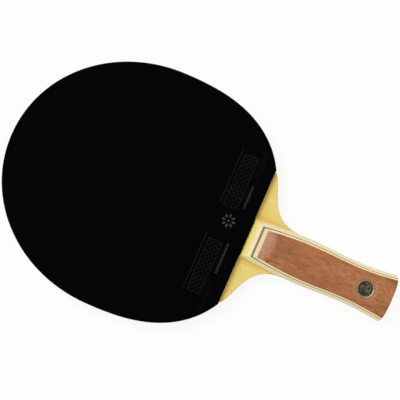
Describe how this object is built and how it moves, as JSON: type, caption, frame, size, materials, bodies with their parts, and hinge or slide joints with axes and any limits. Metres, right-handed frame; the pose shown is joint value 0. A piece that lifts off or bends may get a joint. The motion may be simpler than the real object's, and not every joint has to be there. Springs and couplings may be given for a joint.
{
  "type": "table tennis bat",
  "caption": "Table tennis bat with a laminated wooden blade, a flared layered grip, a round metal badge and a smooth rubber on each face.",
  "frame": {"origin": "under the middle of the bat's width and length, level with the flat back of the grip", "axes": "+Y towards the tip of the blade, +X to the bat's right seen from the front with the tip up, +Z out of the black front face"},
  "size_m": [0.152, 0.2516, 0.0236],
  "materials": {
    "black_rubber": "smooth moulded sheet, soft satin sheen",
    "red_rubber": "smooth moulded sheet, soft satin sheen",
    "sponge": "fine-celled foam, matt cut edge",
    "blade_wood": "sealed yellow veneer, satin",
    "core_wood": "light straight-grained core, satin edge",
    "grip_base_wood": "pale yellow wood, sanded and sealed",
    "ivory_veneer": "whitish veneer, sanded and sealed",
    "dark_veneer": "dark brown veneer, sanded and sealed",
    "cream_veneer": "cream veneer, sanded and sealed",
    "red_brown_wood": "open-pored red-brown wood, satin",
    "silver_metal": "polished rim",
    "dark_metal": "dark patinated disc"
  },
  "bodies": {
    "root": {"core_ply": "core_wood", "inner_ply_front": "blade_wood", "face_ply_front": "blade_wood", "inner_ply_back": "blade_wood", "face_ply_back": "blade_wood", "front_sponge": "sponge", "front_topsheet": "black_rubber", "back_sponge": "sponge", "back_topsheet": "red_rubber", "grip_base_front": "grip_base_wood", "grip_base_back": "grip_base_wood", "grip_pale_veneer_front": "ivory_veneer", "grip_pale_veneer_back": "ivory_veneer", "grip_dark_veneer_front": "dark_veneer", "grip_dark_veneer_back": "dark_veneer", "grip_cream_veneer_front": "cream_veneer", "grip_cream_veneer_back": "cream_veneer", "grip_cap_front": "red_brown_wood", "grip_cap_back": "red_brown_wood", "badge_rim": "silver_metal", "badge_disc": "dark_metal"}
  },
  "joints": []
}
